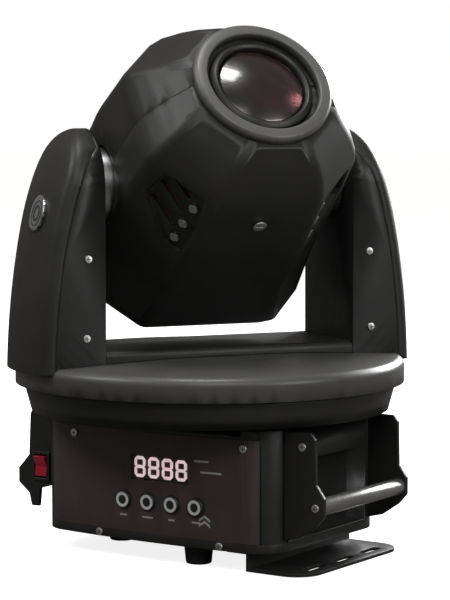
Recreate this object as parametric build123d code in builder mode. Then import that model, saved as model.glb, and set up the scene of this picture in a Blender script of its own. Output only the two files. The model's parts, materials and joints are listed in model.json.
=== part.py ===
from build123d import *
import math
import os

# Moving head light: a base, a yoke that pans on it and a head that tilts in the yoke.
# Millimetres. +Z is up, the front of the base faces -Y, and the pan axis is the Z axis.

# ---------------------------------------------------------------- driving dimensions
PAN = 57.7            # how far the yoke is turned from the base's front
TILT = 52.0           # the beam's angle from straight up
PIVOT_Z = 350.0       # height of the tilt axis
WALL = 3.0            # moulded covers and sheet metal
GAP = 0.3             # between covers that meet
FIT = 0.05            # radial clearance of a running fit

BASE_HALF_W = 134.0
BASE_REAR_Y = 102.0
BASE_CORNER = 34.0
BASE_FRONT_Y = -99.0
FRONT_BULGE = 5.0
TRAY_Z = 19.0
TRAY_TOP = 27.0
BASE_TOP = 131.0
PANEL_HALF_W = 119.0
PANEL_TOP = 123.0

FOOT_R = 14.0
FOOT_SPOTS = [(41, -78), (41, 78), (-88, -24), (-88, 24)]
SOCKET_X = 92.0       # quarter-turn sockets under the tray
SOCKET_Y = 53.0
SOCKET_R = 5.0

CHEEK_Y = 72.0
CHEEK_T = 4.0
GRIP_X = 168.0
GRIP_Z = 63.0
GRIP_R = 8.0
POCKET_DEPTH = 20.0   # hand recess in each side, behind the grip bar
POCKET_HALF_Y = 66.0
POCKET_TOP = 100.0

SWITCH_X = -147.0
SWITCH_Z = 74.0
SWITCH_W = 21.0
SWITCH_H = 29.0

BRACKET_T = 3.0
BRACKET_LEG_X = 101.0
BRACKET_OUT_X = 165.5
BRACKET_HALF_Y = 89.0
BRACKET_IN_X = 80.0
SLOT_X = 150.0
SLOT_PITCH = 50.0
SLOT_LENGTH = 32.0
SLOT_R = 4.5

DISPLAY_X = 13.7
DISPLAY_Z = 89.0
DISPLAY_W = 64.0
DISPLAY_H = 23.0
BUTTON_XS = [-27.0, 1.0, 28.0, 55.0]
BUTTON_Z = 57.0
BUTTON_R = 8.5

DISC_R = 187.0
DISC_RIM_Z = 162.0
DISC_RIM_TOP = 185.0
DISC_ROUND = 8.0      # rounding of the disc's upper edge
BOWL_Z = 136.0
BOWL_R = 172.0
BOWL_RIM_R = 178.0
SPINDLE_R = 20.0
SPINDLE_BORE_R = 14.0  # cable way through the pan axis

ARM_IN_X = 127.0
ARM_HALF_Y = 54.0
ARM_FOOT_Z = 178.5
ARM_ROUND = 11.5
CROWN_X = 10.0        # axis the arms' outer faces are turned about
CROSS_TOP = 199.0
PLATE_Z = 147.0

PULLEY_PITCH = 3.0    # belt tooth pitch
PAN_TEETH = 72
TILT_TEETH = 60
MOTOR_TEETH = 20
BELT_T = 2.0
MOTOR_W = 42.0
MOTOR_SHAFT_R = 2.5
PAN_MOTOR_X = -92.0
TILT_MOTOR_Z = 232.0
PAN_BELT_Z = 160.0
TILT_BELT_X = 140.0
PULLEY_W = 10.0

# the head's eight-sided rings: height, half width, upper and lower half height, upper and lower corner cut
HEAD_RINGS = [(-112, 84, 72, 84, 36, 34), (-92, 106, 90, 104, 50, 36), (-40, 112, 100, 101, 40, 54),
              (35, 112, 100, 100, 40, 57), (100, 105, 95, 95, 40, 52), (127, 89, 84.5, 84.5, 45, 45),
              (150, 68, 68, 68, 40, 40)]
HEAD_ROUND = 14.0     # rounding of the head's lengthwise edges
RING_SOFTEN = 6.0     # how far to each side of a ring its crease is cut back
HEAD_REAR_Z = HEAD_RINGS[0][0]
NOSE_Z = HEAD_RINGS[-1][0]
COLLAR_R = 66.0
COLLAR_BORE_R = 54.0
COLLAR_Z = 160.0
BARREL_R = 49.0
LENS_R = 41.5
HUB_R = 36.0
SHAFT_R = 12.0
WHEEL_R = 42.0
WHEEL_Y = 31.0
BULKHEAD_Z = 38.0

BASE = Location((0, 0, 0))
YOKE = Location((0, 0, 0), (0, 0, PAN))
HEAD = YOKE * Location((0, 0, PIVOT_Z), (TILT, 0, 0))

os.makedirs("parts", exist_ok=True)


def write(piece, label, frame=BASE):
    """Label a finished piece, set it in its body's frame and write it."""
    placed = piece.part.moved(frame)
    placed.label = label
    export_step(placed, f"parts/{label}.step")


# ---------------------------------------------------------------- base: tray and shell
def base_outline():
    """The base in plan: a rounded rectangle whose front bulges a little."""
    side_y = BASE_FRONT_Y + BASE_CORNER
    rear_y = BASE_REAR_Y - BASE_CORNER
    edge_x = BASE_HALF_W - BASE_CORNER
    diag = BASE_CORNER * (1 - math.sqrt(0.5))
    w = BASE_HALF_W
    with BuildSketch() as outline:
        with BuildLine():
            Line((-w, side_y), (-w, rear_y))
            ThreePointArc((-w, rear_y), (-w + diag, BASE_REAR_Y - diag), (-edge_x, BASE_REAR_Y))
            Line((-edge_x, BASE_REAR_Y), (edge_x, BASE_REAR_Y))
            ThreePointArc((edge_x, BASE_REAR_Y), (w - diag, BASE_REAR_Y - diag), (w, rear_y))
            Line((w, rear_y), (w, side_y))
            ThreePointArc((w, side_y), (w - diag, BASE_FRONT_Y + diag), (edge_x, BASE_FRONT_Y))
            ThreePointArc((edge_x, BASE_FRONT_Y), (0, BASE_FRONT_Y - FRONT_BULGE), (-edge_x, BASE_FRONT_Y))
            ThreePointArc((-edge_x, BASE_FRONT_Y), (-w + diag, BASE_FRONT_Y + diag), (-w, side_y))
        make_face()
    return outline.sketch


OUTLINE = base_outline()
INNER = offset(OUTLINE, -WALL)

SCREW_R = 2.0
TRAY_SCREWS = [(-56, 23), (80, 23)]
TRAY_SCREW_Y = 90.0

with BuildPart() as base_tray:
    extrude(OUTLINE.moved(Location((0, 0, TRAY_Z))), TRAY_TOP - TRAY_Z)
    extrude(INNER.moved(Location((0, 0, TRAY_Z + WALL))), TRAY_TOP, mode=Mode.SUBTRACT)
    with BuildSketch(Plane.XY.offset(TRAY_Z)):
        with GridLocations(2 * SOCKET_X, 2 * SOCKET_Y, 2, 2):
            Circle(SOCKET_R)
    extrude(amount=WALL, mode=Mode.SUBTRACT)
    with BuildSketch(Plane.XZ.offset(TRAY_SCREW_Y)):
        for spot in TRAY_SCREWS:
            with Locations(spot):
                Circle(SCREW_R + 0.1)
    extrude(amount=20, mode=Mode.SUBTRACT)
write(base_tray, "base_tray")

with BuildPart() as base_shell:
    extrude(OUTLINE.moved(Location((0, 0, TRAY_TOP))), BASE_TOP - TRAY_TOP)
    extrude(INNER.moved(Location((0, 0, TRAY_TOP))), BASE_TOP - TRAY_TOP - WALL, mode=Mode.SUBTRACT)
    with BuildSketch(Plane.XZ.offset(60)):
        with Locations((0, (TRAY_TOP + PANEL_TOP) / 2)):
            Rectangle(2 * PANEL_HALF_W, PANEL_TOP - TRAY_TOP)
    extrude(amount=60, mode=Mode.SUBTRACT)
    with BuildSketch(Plane.XZ.offset(-90)):
        with Locations((0, 77)):
            Rectangle(170, 90)
    extrude(amount=-30, mode=Mode.SUBTRACT)
    with BuildSketch(Plane.XY.offset(BASE_TOP - WALL)):
        Circle(SPINDLE_BORE_R)
    extrude(amount=WALL, mode=Mode.SUBTRACT)
    for grow, mode in ((WALL, Mode.ADD), (0, Mode.SUBTRACT)):
        low = TRAY_TOP + WALL - grow
        for side in (-1, 1):
            with BuildSketch(Plane.YZ.offset(side * (BASE_HALF_W - POCKET_DEPTH - grow))):
                with Locations((0, (low + POCKET_TOP + grow) / 2)):
                    Rectangle(2 * (POCKET_HALF_Y + grow), POCKET_TOP + grow - low)
            extrude(amount=side * (POCKET_DEPTH + grow), mode=mode)
write(base_shell, "base_shell")

with BuildPart() as rubber_feet:
    for spot in FOOT_SPOTS:
        with BuildSketch(Plane.XY) as foot_tread:
            with Locations(spot):
                Circle(FOOT_R - 2)
        with BuildSketch(Plane.XY.offset(TRAY_Z)) as foot_root:
            with Locations(spot):
                Circle(FOOT_R)
        loft()
write(rubber_feet, "rubber_feet")

# ---------------------------------------------------------------- base: front panel
FACE_Y = -(BASE_FRONT_Y - FRONT_BULGE)      # how far the middle of the front stands out
PANEL_SCREWS = [(-87, 115), (105, 115)]
CHEEK_SCREWS = [(154, 118), (GRIP_X, GRIP_Z)]


def front_face_y(x):
    """Where the outside of the bulging front is, at x."""
    half = BASE_HALF_W - BASE_CORNER
    x = min(x, half)
    radius = (half ** 2 + FRONT_BULGE ** 2) / (2 * FRONT_BULGE)
    return -(FACE_Y - radius + math.sqrt(radius ** 2 - x ** 2))


with BuildPart() as front_panel:
    extrude(OUTLINE.moved(Location((0, 0, TRAY_TOP + GAP))), PANEL_TOP - TRAY_TOP - 2 * GAP)
    extrude(INNER.moved(Location((0, 0, TRAY_TOP))), PANEL_TOP, mode=Mode.SUBTRACT)
    with BuildSketch(Plane.XZ.offset(60)):
        with Locations((0, (TRAY_TOP + PANEL_TOP) / 2)):
            Rectangle(2 * (PANEL_HALF_W - GAP), PANEL_TOP)
    extrude(amount=60, mode=Mode.INTERSECT)
    with BuildSketch(Plane.XZ.offset(90)):
        with Locations((DISPLAY_X, DISPLAY_Z)):
            Rectangle(DISPLAY_W + 2 * GAP, DISPLAY_H + 2 * GAP)
        for x in BUTTON_XS:
            with Locations((x, BUTTON_Z)):
                Circle(BUTTON_R + GAP)
        for spot in PANEL_SCREWS:
            with Locations(spot):
                Circle(SCREW_R + 0.1)
    extrude(amount=30, mode=Mode.SUBTRACT)
write(front_panel, "front_panel")

with BuildPart() as panel_screws:
    for x, z in PANEL_SCREWS + TRAY_SCREWS:
        face = -front_face_y(abs(x) - SCREW_R - 2)
        with BuildSketch(Plane.XZ.offset(face - 9)):
            with Locations((x, z)):
                Circle(SCREW_R)
        extrude(amount=9.2)
        with BuildSketch(Plane.XZ.offset(face + 0.1)):
            with Locations((x, z)):
                Circle(SCREW_R + 1.8)
        extrude(amount=1.6)
    for face in (-1, 1):
        with BuildSketch(Plane.XZ.offset(face * (CHEEK_Y + CHEEK_T + 0.1))):
            with Locations(CHEEK_SCREWS):
                Circle(SCREW_R + 1.8)
        extrude(amount=face * 1.6)
write(panel_screws, "panel_screws")

BOARD_Y = 84.0
with BuildPart() as display_window:
    with BuildSketch(Plane.XZ.offset(FACE_Y - 3.5)):
        with Locations((DISPLAY_X, DISPLAY_Z)):
            RectangleRounded(DISPLAY_W, DISPLAY_H, 1.5)
    extrude(amount=2.5)
write(display_window, "display_window")

with BuildPart() as display_module:
    with BuildSketch(Plane.XZ.offset(BOARD_Y + 1.6)):
        with Locations((DISPLAY_X, DISPLAY_Z)):
            Rectangle(52, 20)
    extrude(amount=FACE_Y - 4.5 - BOARD_Y - 1.6)
write(display_module, "display_module")

with BuildPart() as control_board:
    with BuildSketch(Plane.XZ.offset(BOARD_Y)):
        with Locations((DISPLAY_X, 75)):
            Rectangle(120, 78)
    extrude(amount=1.6)
write(control_board, "control_board")

for number, x in enumerate(BUTTON_XS, start=1):
    with BuildPart() as menu_button:
        with BuildSketch(Plane.XZ.offset(FACE_Y - 8)):
            with Locations((x, BUTTON_Z)):
                Circle(BUTTON_R)
        extrude(amount=10)
        fillet(menu_button.faces().sort_by(Axis.Y)[0].edges(), 1.2)
        with BuildSketch(Plane.XZ.offset(FACE_Y - 9.5)):
            with Locations((x, BUTTON_Z)):
                Circle(BUTTON_R + 1.6)
        extrude(amount=1.5)
        with BuildSketch(Plane.XZ.offset(FACE_Y - 12.5)):
            with Locations((x, BUTTON_Z)):
                Circle(2.5)
        extrude(amount=3)
    write(menu_button, f"menu_button_{number}")

# ---------------------------------------------------------------- base: rear panel
REAR_Y = BASE_REAR_Y - 0.2
with BuildPart() as rear_panel:
    with BuildSketch(Plane.XZ.offset(-REAR_Y)):
        with Locations((0, 77)):
            Rectangle(170 - 2 * GAP, 90 - 2 * GAP)
        with Locations((-55, 88), (-15, 88)):
            Circle(12.2, mode=Mode.SUBTRACT)
        with Locations((48, 84)):
            Rectangle(28.4, 50.4, mode=Mode.SUBTRACT)
    extrude(amount=2.6)
write(rear_panel, "rear_panel")

with BuildPart() as signal_sockets:
    for x in (-55, -15):
        with BuildSketch(Plane.XZ.offset(-REAR_Y - 3)):
            with Locations((x, 88)):
                RectangleRounded(26, 31, 3)
        extrude(amount=3)
        with BuildSketch(Plane.XZ.offset(-REAR_Y)):
            with Locations((x, 88)):
                Circle(12)
        extrude(amount=18)
        with BuildSketch(Plane.XZ.offset(-REAR_Y - 3)):
            with Locations((x, 88)):
                Circle(9.4)
        extrude(amount=15, mode=Mode.SUBTRACT)
        with BuildSketch(Plane.XZ.offset(-REAR_Y + 12.5)):
            with Locations((x, 88)):
                with PolarLocations(4.6, 3, 90):
                    Circle(1.1)
        extrude(amount=-11)
write(signal_sockets, "signal_sockets")

with BuildPart() as power_inlet:
    with BuildSketch(Plane.XZ.offset(-REAR_Y - 2)):
        with Locations((48, 84)):
            RectangleRounded(32, 54, 2)
    extrude(amount=2)
    with BuildSketch(Plane.XZ.offset(-REAR_Y)):
        with Locations((48, 84)):
            Rectangle(28, 50)
    extrude(amount=22)
    with BuildSketch(Plane.XZ.offset(-REAR_Y - 2)):
        with Locations((48, 92)):
            RectangleRounded(24, 16, 3)
    extrude(amount=18, mode=Mode.SUBTRACT)
    with BuildSketch(Plane.XZ.offset(-REAR_Y + 16.5)):
        with Locations((41, 92), (48, 94), (55, 92)):
            Rectangle(2, 5)
    extrude(amount=-14)
    with BuildSketch(Plane.XZ.offset(-REAR_Y - 3)):
        with Locations((48, 69)):
            Rectangle(22, 12)
    extrude(amount=2)
write(power_inlet, "power_inlet")

with BuildPart() as ballast:
    with BuildSketch(Plane.XY.offset(TRAY_Z + WALL)):
        with Locations((-62, 20)):
            Rectangle(76, 104)
    extrude(amount=70)
    with BuildSketch(Plane.XY.offset(TRAY_Z + WALL + 10)):
        with Locations((-62, 20)):
            Rectangle(60, 112)
    extrude(amount=50)
write(ballast, "ballast")

# ---------------------------------------------------------------- base: handles and switch
CHEEK_LEFT = [(134, 131), (157, 131), (161, 125), (163, 84), (176, 70), (176, 56), (163, 46), (160, 34),
              (151, 34), (149, 52), (134, 56)]
CHEEK_RIGHT = [(134, 131), (162, 131), (167, 125), (168, 84), (177, 72), (177, 56), (168, 46), (150, 34),
               (134, 30)]


def cheek(side, points, y_outer, switch):
    """One handle cheek, a plate that stands out from the side of the base."""
    with BuildPart() as plate:
        with BuildSketch(Plane.XZ.offset(-y_outer)):
            with BuildLine():
                Polyline([(side * x, z) for x, z in points], close=True)
            make_face()
            if switch:
                with Locations((SWITCH_X, SWITCH_Z)):
                    Rectangle(SWITCH_W - 3, SWITCH_H - 3, mode=Mode.SUBTRACT)
        extrude(amount=CHEEK_T)
    return plate.part


for name, side, points in (("left", -1, CHEEK_LEFT), ("right", 1, CHEEK_RIGHT)):
    with BuildPart() as handle_cheeks:
        add(cheek(side, points, -CHEEK_Y, switch=side < 0))
        add(cheek(side, points, CHEEK_Y + CHEEK_T, switch=False))
    write(handle_cheeks, f"handle_cheeks_{name}")

with BuildPart() as grip_bars:
    for side in (-1, 1):
        with BuildSketch(Plane.XZ.offset(-CHEEK_Y)):
            with Locations((side * GRIP_X, GRIP_Z)):
                Circle(GRIP_R)
        extrude(amount=2 * CHEEK_Y)
write(grip_bars, "grip_bars")

SWITCH_FACE = CHEEK_Y + CHEEK_T
with BuildPart() as power_switch_frame:
    with BuildSketch(Plane.XZ.offset(SWITCH_FACE)):
        with Locations((SWITCH_X, SWITCH_Z)):
            RectangleRounded(SWITCH_W, SWITCH_H, 1.5)
    extrude(amount=2)
    with BuildSketch(Plane.XZ.offset(SWITCH_FACE - 18)):
        with Locations((SWITCH_X, SWITCH_Z)):
            Rectangle(SWITCH_W - 3.4, SWITCH_H - 3.4)
    extrude(amount=18)
    with BuildSketch(Plane.XZ.offset(SWITCH_FACE - 14)):
        with Locations((SWITCH_X, SWITCH_Z)):
            Rectangle(SWITCH_W - 6, SWITCH_H - 6)
    extrude(amount=16, mode=Mode.SUBTRACT)
write(power_switch_frame, "power_switch_frame")

with BuildPart() as power_rocker:
    with BuildSketch(Plane.YZ.offset(SWITCH_X - (SWITCH_W - 7) / 2)):
        with BuildLine():
            rocker_y = -SWITCH_FACE
            half = (SWITCH_H - 9) / 2
            Polyline([(rocker_y + 4, SWITCH_Z - half), (rocker_y - 2.5, SWITCH_Z - half),
                      (rocker_y - 1.2, SWITCH_Z), (rocker_y - 5.5, SWITCH_Z + half),
                      (rocker_y + 2, SWITCH_Z + half), (rocker_y + 6, SWITCH_Z)], close=True)
        make_face()
    extrude(amount=SWITCH_W - 7)
write(power_rocker, "power_rocker")

# ---------------------------------------------------------------- base: mounting bracket
with BuildPart() as mounting_bracket:
    with BuildSketch(Plane.XZ.offset(-BRACKET_HALF_Y)):
        with BuildLine():
            Polyline([(BRACKET_IN_X, TRAY_Z), (BRACKET_LEG_X + BRACKET_T, TRAY_Z),
                      (BRACKET_LEG_X + BRACKET_T, BRACKET_T), (BRACKET_OUT_X, BRACKET_T),
                      (BRACKET_OUT_X, 0), (BRACKET_LEG_X, 0), (BRACKET_LEG_X, TRAY_Z - BRACKET_T),
                      (BRACKET_IN_X, TRAY_Z - BRACKET_T)], close=True)
        make_face()
    extrude(amount=2 * BRACKET_HALF_Y)
    outer_corners = mounting_bracket.edges().filter_by(Axis.Z).group_by(Axis.X)[-1]
    fillet(outer_corners, 26)
    with BuildSketch(Plane.XY.offset(0)):
        with Locations((SLOT_X, -SLOT_PITCH), (SLOT_X, 0), (SLOT_X, SLOT_PITCH)):
            SlotOverall(SLOT_LENGTH, 2 * SLOT_R, rotation=90)
    extrude(amount=BRACKET_T, mode=Mode.SUBTRACT)
    with BuildSketch(Plane.XY.offset(TRAY_Z - BRACKET_T)):
        with Locations((BRACKET_IN_X, 0)):
            Rectangle(2 * (SOCKET_X - BRACKET_IN_X) + 16, 44)
        with Locations((SOCKET_X, -SOCKET_Y), (SOCKET_X, SOCKET_Y)):
            Circle(SOCKET_R)
    extrude(amount=BRACKET_T, mode=Mode.SUBTRACT)
write(mounting_bracket, "mounting_bracket")

with BuildPart() as bracket_fasteners:
    for y in (-SOCKET_Y, SOCKET_Y):
        for z, radius, height in ((TRAY_Z - 7, 8, 4), (TRAY_Z - BRACKET_T, SOCKET_R - 0.2, 9),
                                  (TRAY_Z + WALL, 7.5, 2)):
            with BuildSketch(Plane.XY.offset(z)):
                with Locations((SOCKET_X, y)):
                    Circle(radius)
            extrude(amount=height)
        with BuildSketch(Plane.XY.offset(TRAY_Z - 12)):
            with Locations((SOCKET_X, y)):
                Rectangle(13, 2.5)
        extrude(amount=5)
write(bracket_fasteners, "bracket_fasteners")


# ---------------------------------------------------------------- pulleys, belts, motors
def pitch_radius(teeth):
    return teeth * PULLEY_PITCH / (2 * math.pi)


def pulley(teeth, bore_r, plane, spot):
    """A toothed belt pulley with a flange at each end, extruded from the plane."""
    outer = pitch_radius(teeth) - 0.4
    with BuildPart() as wheel:
        with BuildSketch(plane):
            with Locations(spot):
                Circle(outer)
                with PolarLocations(outer, teeth):
                    Circle(0.8, mode=Mode.SUBTRACT)
        extrude(amount=PULLEY_W)
        for height in (0, PULLEY_W - 1.2):
            with BuildSketch(plane.offset(height)):
                with Locations(spot):
                    Circle(outer + 2.6)
            extrude(amount=1.2)
        with BuildSketch(plane):
            with Locations(spot):
                Circle(bore_r)
        extrude(amount=PULLEY_W, mode=Mode.SUBTRACT)
    return wheel.part


def belt(plane, large_r, large_spot, small_r, small_spot):
    """A belt loop round two pulleys, resting on their pitch circles."""
    with BuildPart() as loop:
        for extra, mode in ((BELT_T, Mode.ADD), (0, Mode.SUBTRACT)):
            with BuildSketch(plane.offset(2)):
                with Locations(large_spot):
                    Circle(large_r + extra)
                with Locations(small_spot):
                    Circle(small_r + extra)
                make_hull()
            extrude(amount=PULLEY_W - 4, mode=mode)
    return loop.part


def motor(plane, spot, body_start, body_length, shaft_from, shaft_r=MOTOR_SHAFT_R, width=MOTOR_W):
    """A square stepper motor whose shaft comes back from its body along the plane's normal."""
    with BuildPart() as unit:
        with BuildSketch(plane.offset(body_start)):
            with Locations(spot):
                RectangleRounded(width, width, 4)
        extrude(amount=body_length)
        with BuildSketch(plane.offset(shaft_from)):
            with Locations(spot):
                Circle(shaft_r)
        extrude(amount=body_start - shaft_from)
    return unit.part


# ---------------------------------------------------------------- pan spindle and drive
with BuildPart() as pan_spindle:
    with BuildSketch(Plane.XY.offset(BASE_TOP)):
        Circle(55)
        Circle(SPINDLE_BORE_R, mode=Mode.SUBTRACT)
    extrude(amount=4)
    with BuildSketch(Plane.XY.offset(BASE_TOP)):
        Circle(SPINDLE_R)
        Circle(SPINDLE_BORE_R, mode=Mode.SUBTRACT)
    extrude(amount=44)
write(pan_spindle, "pan_spindle")

with BuildPart() as pan_pulley:
    add(pulley(PAN_TEETH, SPINDLE_R + 0.1, Plane.XY.offset(PAN_BELT_Z), (0, 0)))
write(pan_pulley, "pan_pulley")

with BuildPart() as pan_motor_pulley:
    add(pulley(MOTOR_TEETH, MOTOR_SHAFT_R + FIT, Plane.XY.offset(PAN_BELT_Z), (PAN_MOTOR_X, 0)))
write(pan_motor_pulley, "pan_motor_pulley", YOKE)

with BuildPart() as pan_belt:
    add(belt(Plane.XY.offset(PAN_BELT_Z), pitch_radius(PAN_TEETH), (0, 0),
             pitch_radius(MOTOR_TEETH), (PAN_MOTOR_X, 0)))
write(pan_belt, "pan_belt", YOKE)

# ---------------------------------------------------------------- yoke: disc
BOWL_EDGE = 158.0     # height where the bowl reaches the rim
with BuildPart() as yoke_lower_cover:
    with BuildSketch(Plane.XZ):
        with BuildLine():
            Polyline([(44, BOWL_Z), (BOWL_R, BOWL_Z), (BOWL_RIM_R, BOWL_EDGE), (BOWL_RIM_R, DISC_RIM_Z),
                      (BOWL_RIM_R - WALL, DISC_RIM_Z), (BOWL_RIM_R - WALL, BOWL_EDGE + 1),
                      (BOWL_R - 1.6, BOWL_Z + WALL), (44, BOWL_Z + WALL)], close=True)
        make_face()
    revolve(axis=Axis.Z)
write(yoke_lower_cover, "yoke_lower_cover", YOKE)

DOME_MID_R = 90.0
DOME_MID_Z = 189.5
DOME_Z = 190.5


def dome(lift, base_z):
    """The solid under the top of the disc, lifted by a little."""
    rim = DISC_R + lift
    top = DISC_RIM_TOP + lift
    diag = DISC_ROUND * (1 - math.sqrt(0.5))
    with BuildPart() as solid:
        with BuildSketch(Plane.XZ):
            with BuildLine():
                Polyline([(0, DOME_Z + lift), (0, base_z), (rim, base_z), (rim, top - DISC_ROUND)])
                ThreePointArc((rim, top - DISC_ROUND), (rim - diag, top - diag), (rim - DISC_ROUND, top))
                Polyline([(rim - DISC_ROUND, top), (DOME_MID_R, DOME_MID_Z + lift), (0, DOME_Z + lift)])
            make_face()
        revolve(axis=Axis.Z)
    return solid.part


with BuildPart() as yoke_upper_cover:
    add(dome(0, DISC_RIM_Z + GAP))
    with BuildSketch(Plane.XZ):
        with BuildLine():
            Polyline([(0, DISC_RIM_Z), (BOWL_RIM_R - WALL, DISC_RIM_Z), (BOWL_RIM_R - WALL, DISC_RIM_Z + 3),
                      (DISC_R - WALL, DISC_RIM_Z + 3), (DISC_R - WALL, DISC_RIM_TOP - DISC_ROUND),
                      (DISC_R - DISC_ROUND, DISC_RIM_TOP - WALL), (DOME_MID_R, DOME_MID_Z - WALL),
                      (0, DOME_Z - WALL)], close=True)
        make_face()
    revolve(axis=Axis.Z, mode=Mode.SUBTRACT)
    with BuildSketch(Plane.XY.offset(DISC_RIM_TOP - 6)):
        Rectangle(2 * 168, 2 * 48)
    extrude(amount=30, mode=Mode.SUBTRACT)
write(yoke_upper_cover, "yoke_upper_cover", YOKE)

with BuildPart() as yoke_chassis:
    with BuildSketch(Plane.XY.offset(PLATE_Z)):
        Circle(164)
        Rectangle(344, 96, mode=Mode.INTERSECT)
        Circle(32.2, mode=Mode.SUBTRACT)
    extrude(amount=WALL)
    with BuildSketch(Plane.XY.offset(BOWL_Z + WALL)):
        with GridLocations(260, 60, 2, 2):
            Circle(5)
    extrude(amount=PLATE_Z - BOWL_Z - WALL)
write(yoke_chassis, "yoke_chassis", YOKE)

DOME_CLEAR = dome(0.2, 100)
with BuildPart() as yoke_crossbeam:
    with BuildSketch(Plane.XY.offset(DISC_RIM_TOP - 4)):
        Rectangle(2 * (ARM_IN_X - GAP), 2 * ARM_HALF_Y)
    extrude(amount=CROSS_TOP - DISC_RIM_TOP + 4)
    fillet(yoke_crossbeam.edges().filter_by(Axis.X).group_by(Axis.Z)[-1], 6)
    with BuildSketch(Plane.XY.offset(DISC_RIM_TOP - 4)):
        Rectangle(2 * (ARM_IN_X - GAP - WALL), 2 * (ARM_HALF_Y - WALL))
    extrude(amount=CROSS_TOP - DISC_RIM_TOP + 4 - WALL - 1.4, mode=Mode.SUBTRACT)
    add(DOME_CLEAR, mode=Mode.SUBTRACT)
write(yoke_crossbeam, "yoke_crossbeam", YOKE)

# ---------------------------------------------------------------- yoke: arms
FRONT_EDGE = [(176, 170), (174.5, 213), (171, 250), (166, 287), (158.5, 322), (148, 357), (136, 381)]
OUTER_EDGE = [(196, 170), (193, 230), (186, 287), (177, 333), (165, 370), (150, 396), (136, 406)]


def arm_outline(points, grow, top_z):
    """The arm seen from the front, out to the curve through the points."""
    grown = [(x + grow, z) for x, z in points]
    with BuildSketch(Plane.XZ) as outline:
        with BuildLine():
            Spline(grown)
            Polyline([grown[-1], (ARM_IN_X - 5, top_z), (ARM_IN_X - 5, grown[0][1]), grown[0]])
        make_face()
    return outline.sketch


def arm_region(points, grow, top_z):
    """The arm's outline as a straight block from front to back."""
    with BuildPart() as block:
        extrude(arm_outline(points, grow, top_z), ARM_HALF_Y + 10, both=True)
    return block.part


def crowned_region(inset):
    """The arm's outline turned about an upright axis, which crowns its outer face."""
    with BuildPart() as block:
        revolve(arm_outline(OUTER_EDGE, -inset, 408 - inset), axis=Axis((CROWN_X, 0, 0), (0, 0, 1)))
    return block.part


def arm_side(inset, x_from, x_to):
    """The arm seen from its side: straight edges and a round top about the tilt axis."""
    radius = ARM_HALF_Y - inset
    with BuildPart() as block:
        with BuildSketch(Plane.YZ.offset(x_from)):
            with Locations((0, PIVOT_Z)):
                Circle(radius)
            with Locations((0, (PIVOT_Z + 160) / 2)):
                Rectangle(2 * radius, PIVOT_Z - 160)
        extrude(amount=x_to - x_from)
    return block.part


def rounded_arm(inset, rounding):
    """The whole arm, rounded where its outer curve meets its front, back and top."""
    with BuildPart() as block:
        add(crowned_region(inset))
        add(arm_side(inset, ARM_IN_X, 220), mode=Mode.INTERSECT)
        outer = block.faces().sort_by(Axis.X)[-1]
        fillet(outer.edges().filter_by(lambda edge: edge.center().Z > 175), rounding)
    return block.part


def arm_frame(side):
    """The arm's folded frame: inner plate, front and rear flanges and a foot on the chassis."""
    with BuildPart() as frame:
        add(arm_side(0, ARM_IN_X, 220))
        add(arm_region(FRONT_EDGE, 0, 396), mode=Mode.INTERSECT)
        add(arm_side(WALL, ARM_IN_X + WALL, 220), mode=Mode.SUBTRACT)
        add(arm_side(0, ARM_IN_X, ARM_IN_X + WALL))
        add(DOME_CLEAR, mode=Mode.SUBTRACT)
        with BuildSketch(Plane.YZ.offset(ARM_IN_X)):
            with Locations((0, (PLATE_Z + WALL + 200) / 2)):
                Rectangle(90, 200 - PLATE_Z - WALL)
        extrude(amount=WALL)
        with BuildSketch(Plane.XY.offset(PLATE_Z + WALL)):
            with Locations((ARM_IN_X + 12, 0)):
                Rectangle(24, 80)
        extrude(amount=WALL)
        with BuildSketch(Plane.YZ.offset(ARM_IN_X)):
            with Locations((0, PIVOT_Z)):
                Circle(SHAFT_R + 3)
        extrude(amount=WALL, mode=Mode.SUBTRACT)
    return frame.part if side > 0 else frame.part.mirror(Plane.YZ)


def arm_cover(side):
    """The arm's outer cover, a shell that closes the open side of the frame."""
    with BuildPart() as cover:
        add(rounded_arm(0, ARM_ROUND))
        add(rounded_arm(WALL, ARM_ROUND - WALL), mode=Mode.SUBTRACT)
        add(arm_region(FRONT_EDGE, GAP, 396), mode=Mode.SUBTRACT)
        add(arm_side(-1, ARM_IN_X - 1, ARM_IN_X + WALL + GAP), mode=Mode.SUBTRACT)
        with BuildSketch(Plane.XY.offset(ARM_FOOT_Z - 20)):
            with Locations((ARM_IN_X + 40, 0)):
                Rectangle(140, 140)
        extrude(amount=20, mode=Mode.SUBTRACT)
        add(DOME_CLEAR, mode=Mode.SUBTRACT)
    return cover.part if side > 0 else cover.part.mirror(Plane.YZ)


for name, side in (("left", -1), ("right", 1)):
    with BuildPart() as frame_piece:
        add(arm_frame(side))
    write(frame_piece, f"arm_frame_{name}", YOKE)
    with BuildPart() as cover_piece:
        add(arm_cover(side))
    write(cover_piece, f"arm_cover_{name}", YOKE)

ARM_SCREWS = [(144, 285), (146, 212)]
with BuildPart() as arm_screws:
    for side in (-1, 1):
        for x, z in ARM_SCREWS:
            for face in (-1, 1):
                with BuildSketch(Plane.XZ.offset(face * ARM_HALF_Y)):
                    with Locations((side * x, z)):
                        Circle(3.6)
                extrude(amount=face * 1.4)
write(arm_screws, "arm_screws", YOKE)

BADGE_SPOT = (-178.0, -12.0, 326.0)
BADGE_LEAN = math.radians(14)      # the arm's outer face leans in here
BADGE_R = 17.0
BADGE_NORMAL = (-math.cos(BADGE_LEAN), 0, math.sin(BADGE_LEAN))
BADGE_PLANE = Plane(origin=BADGE_SPOT, x_dir=(0, 1, 0), z_dir=BADGE_NORMAL)
with BuildPart() as badge:
    with BuildSketch(BADGE_PLANE.offset(1.6)):
        Circle(BADGE_R)
    extrude(amount=-8)
    add(rounded_arm(0, ARM_ROUND).mirror(Plane.YZ), mode=Mode.SUBTRACT)

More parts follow.
